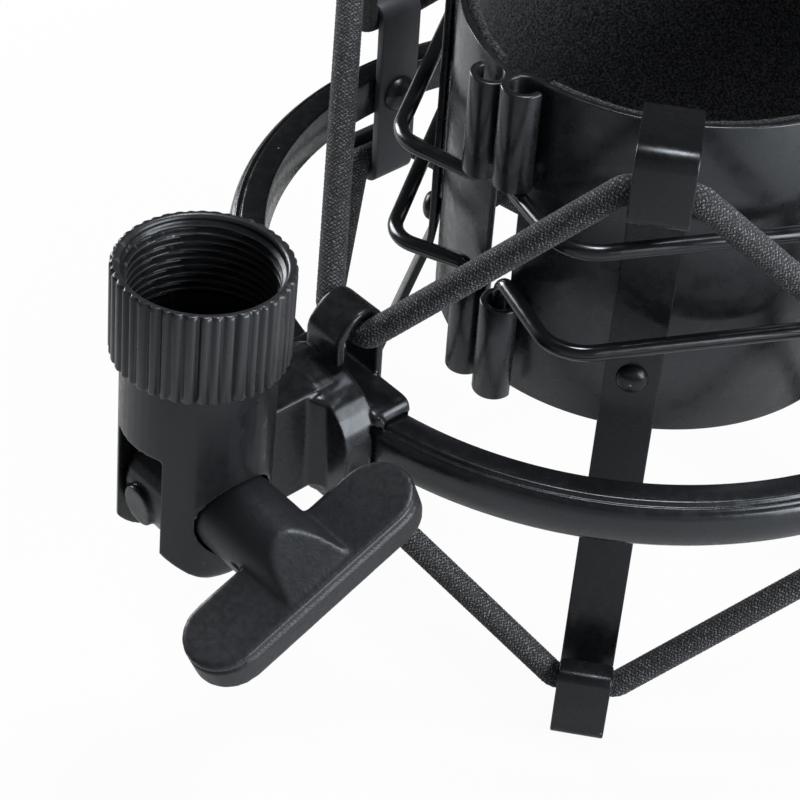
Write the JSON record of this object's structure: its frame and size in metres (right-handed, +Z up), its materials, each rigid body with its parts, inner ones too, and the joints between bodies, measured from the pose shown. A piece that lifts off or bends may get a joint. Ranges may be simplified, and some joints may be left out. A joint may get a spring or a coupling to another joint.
{
  "type": "microphone shock mount",
  "caption": "Ring with a slit spring sleeve hung inside it on zigzag elastic cords, wire levers that open the sleeve, and a tilting threaded stand adapter with a wing clamp.",
  "frame": {"origin": "on the floor under the middle of the whole mount, which stands on its four bottom hooks", "axes": "+Z up along the sleeve's axis, -Y towards the stand bracket and its threaded adapter, +X towards the wing knob's side"},
  "size_m": [0.0954, 0.1255, 0.0789],
  "materials": {
    "sleeve_paint": "semi-gloss black paint on spring steel",
    "foam_grey": "dull dark foam",
    "strip_paint": "semi-gloss black paint",
    "rivet_paint": "semi-gloss black paint",
    "wire_paint": "gloss black paint on spring wire",
    "ring_paint": "satin black paint",
    "plate_paint": "satin black paint",
    "screw_paint": "black oxide",
    "cast_paint": "satin black paint on a casting",
    "cord_weave": "black braided elastic",
    "adapter_paint": "satin black paint on a casting",
    "knob_plastic": "fine-textured black plastic",
    "stud_steel": "zinc-plated steel",
    "nut_steel": "zinc-plated steel"
  },
  "bodies": {
    "frame": {"outer_ring": "ring_paint", "stand_bracket": "cast_paint", "ring_hook_plate_1": "plate_paint", "ring_hook_plate_2": "plate_paint", "ring_hook_plate_3": "plate_paint", "plate_screw_1": "screw_paint", "plate_screw_2": "screw_paint", "plate_screw_3": "screw_paint", "upper_cord": "cord_weave", "lower_cord": "cord_weave"},
    "stand_adapter": {"stand_fork": "adapter_paint", "clamp_nut": "nut_steel"},
    "knob": {"wing_knob": "knob_plastic", "clamp_screw": "stud_steel"},
    "cradle": {"spring_sleeve": "sleeve_paint", "foam_lining": "foam_grey", "hook_strip_1": "strip_paint", "hook_strip_2": "strip_paint", "hook_strip_3": "strip_paint", "hook_strip_4": "strip_paint", "strip_rivet_1": "rivet_paint", "strip_rivet_2": "rivet_paint", "strip_rivet_3": "rivet_paint", "strip_rivet_4": "rivet_paint"},
    "right_lever": {"lever_right": "wire_paint"},
    "left_lever": {"lever_left": "wire_paint"}
  },
  "joints": [
    {"name": "stand_tilt", "type": "hinge", "parent": "frame", "child": "stand_adapter", "pos_m": [0, -0.0494, 0.0395], "axis": [1, 0, 0], "range_deg": [-2, 95]},
    {"name": "knob_turn", "type": "hinge", "parent": "stand_adapter", "child": "knob", "pos_m": [0, -0.0494, 0.0395], "axis": [1, 0, 0], "continuous": true},
    {"name": "cradle_bounce", "type": "slide", "parent": "frame", "child": "cradle", "axis": [0, 0, 1], "range_m": [-0.004, 0.004], "stiffness_N_per_m": 1300, "deforming": ["upper_cord", "lower_cord"]},
    {"name": "right_lever_swing", "type": "hinge", "parent": "cradle", "child": "right_lever", "pos_m": [0.00291, -0.00983, 0], "axis": [0, 0, -1], "range_deg": [0, 9]},
    {"name": "left_lever_swing", "type": "hinge", "parent": "cradle", "child": "left_lever", "pos_m": [-0.00193, -0.00958, 0], "axis": [0, 0, 1], "range_deg": [0, 6]}
  ]
}
